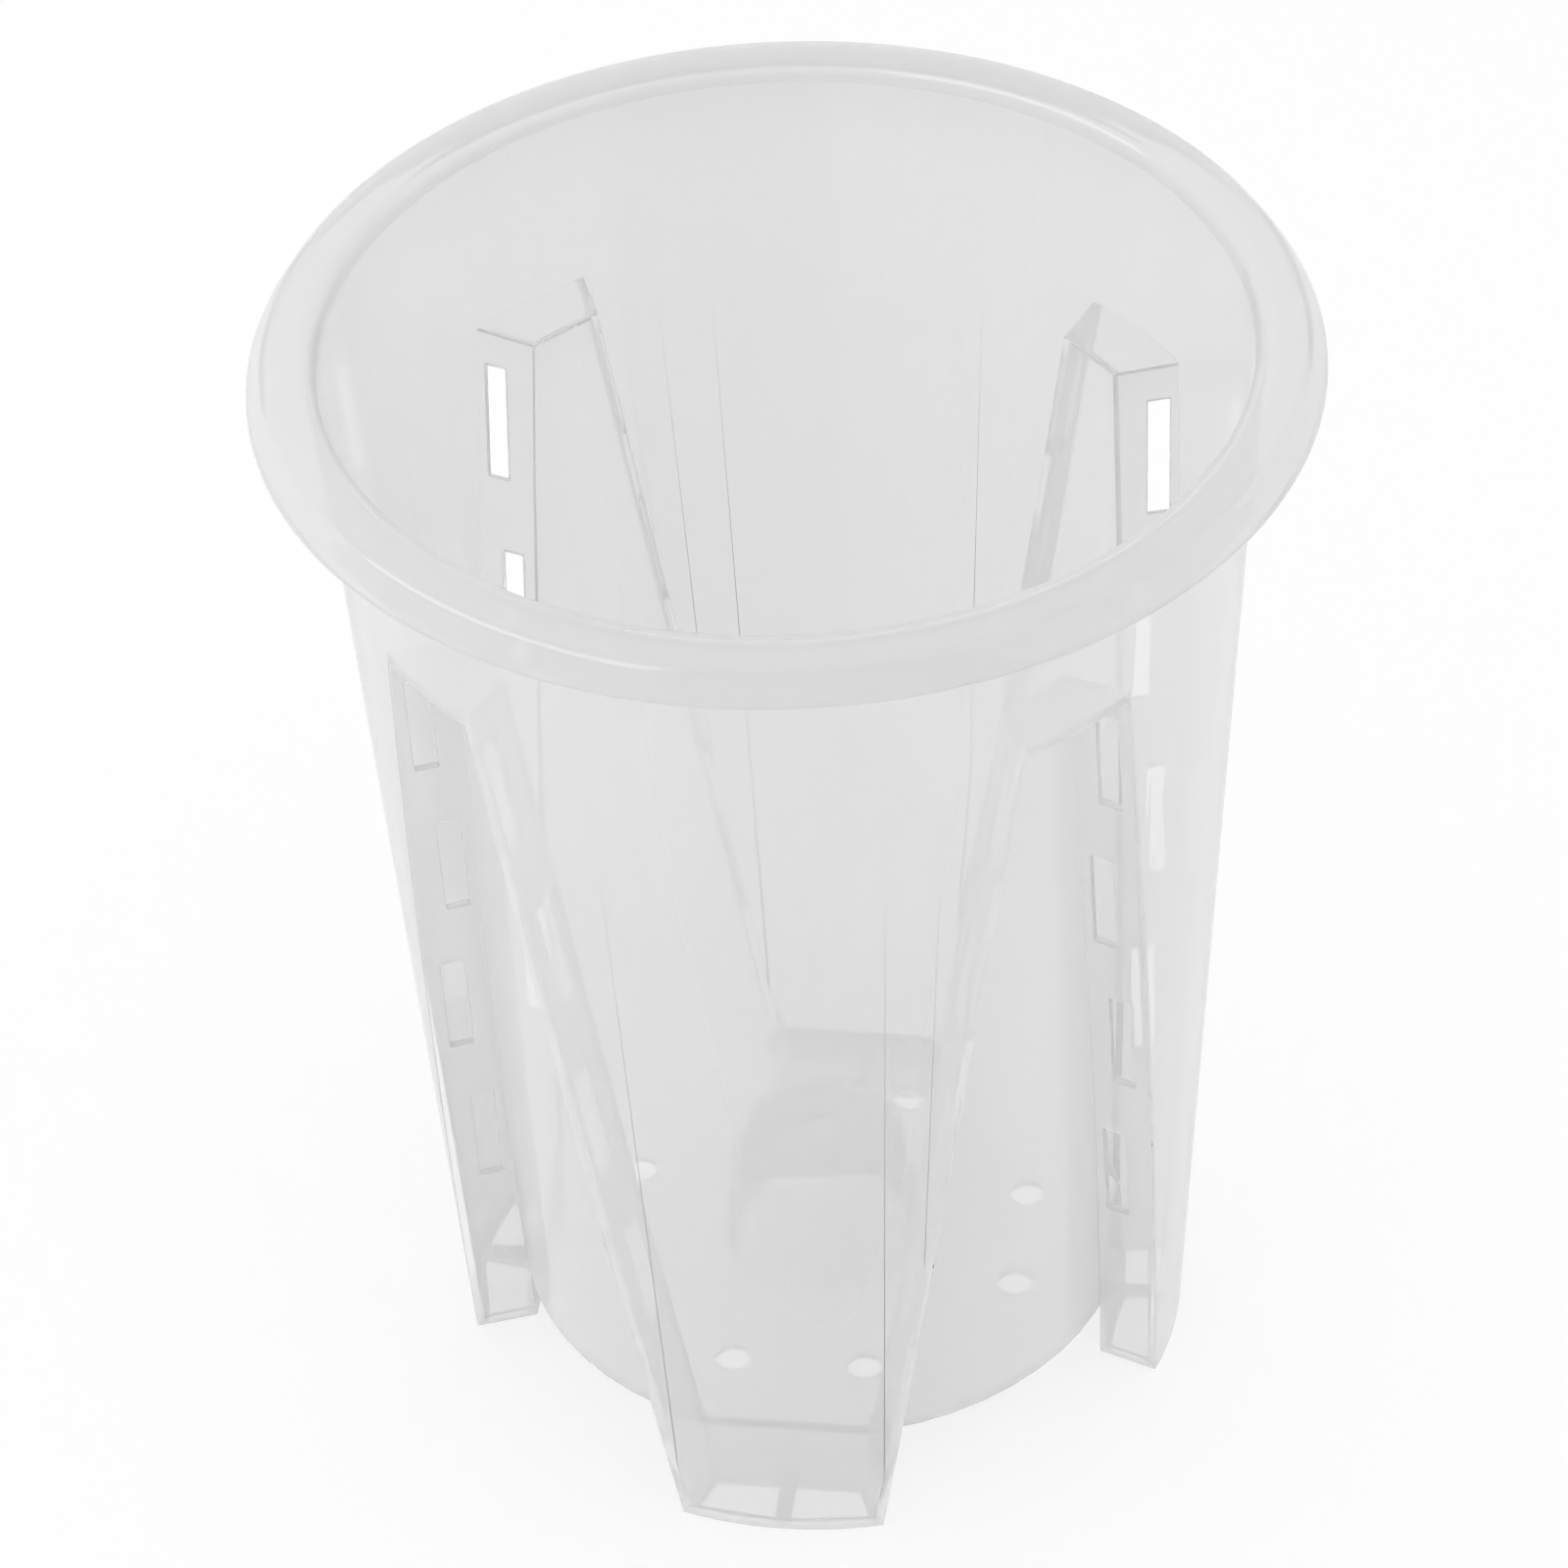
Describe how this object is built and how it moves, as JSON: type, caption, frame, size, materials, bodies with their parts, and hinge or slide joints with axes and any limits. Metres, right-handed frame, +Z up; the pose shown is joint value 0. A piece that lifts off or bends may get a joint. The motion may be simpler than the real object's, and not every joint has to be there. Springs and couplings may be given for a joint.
{
  "type": "orchid pot with slots",
  "caption": "Clear tapered plastic orchid pot with a turned-down rim, recessed slotted side channels, drained raised floor, feet and a central air cone.",
  "frame": {"origin": "centre of the pot's standing circle, on the table", "axes": "+Z up along the pot's axis; a slotted side channel on each of +X, +Y, -X and -Y; -Y is the front"},
  "size_m": [0.13, 0.13, 0.155],
  "materials": {
    "clear_plastic": "clear, glossy, slightly grey"
  },
  "bodies": {
    "root": {"rim": "clear_plastic", "collar": "clear_plastic", "panel_back_right": "clear_plastic", "panel_back_left": "clear_plastic", "panel_front_left": "clear_plastic", "panel_front_right": "clear_plastic", "channel_right": "clear_plastic", "channel_back": "clear_plastic", "channel_left": "clear_plastic", "channel_front": "clear_plastic", "foot_back_right": "clear_plastic", "foot_back_left": "clear_plastic", "foot_front_left": "clear_plastic", "foot_front_right": "clear_plastic", "base_floor": "clear_plastic", "aeration_cone": "clear_plastic"}
  },
  "joints": []
}
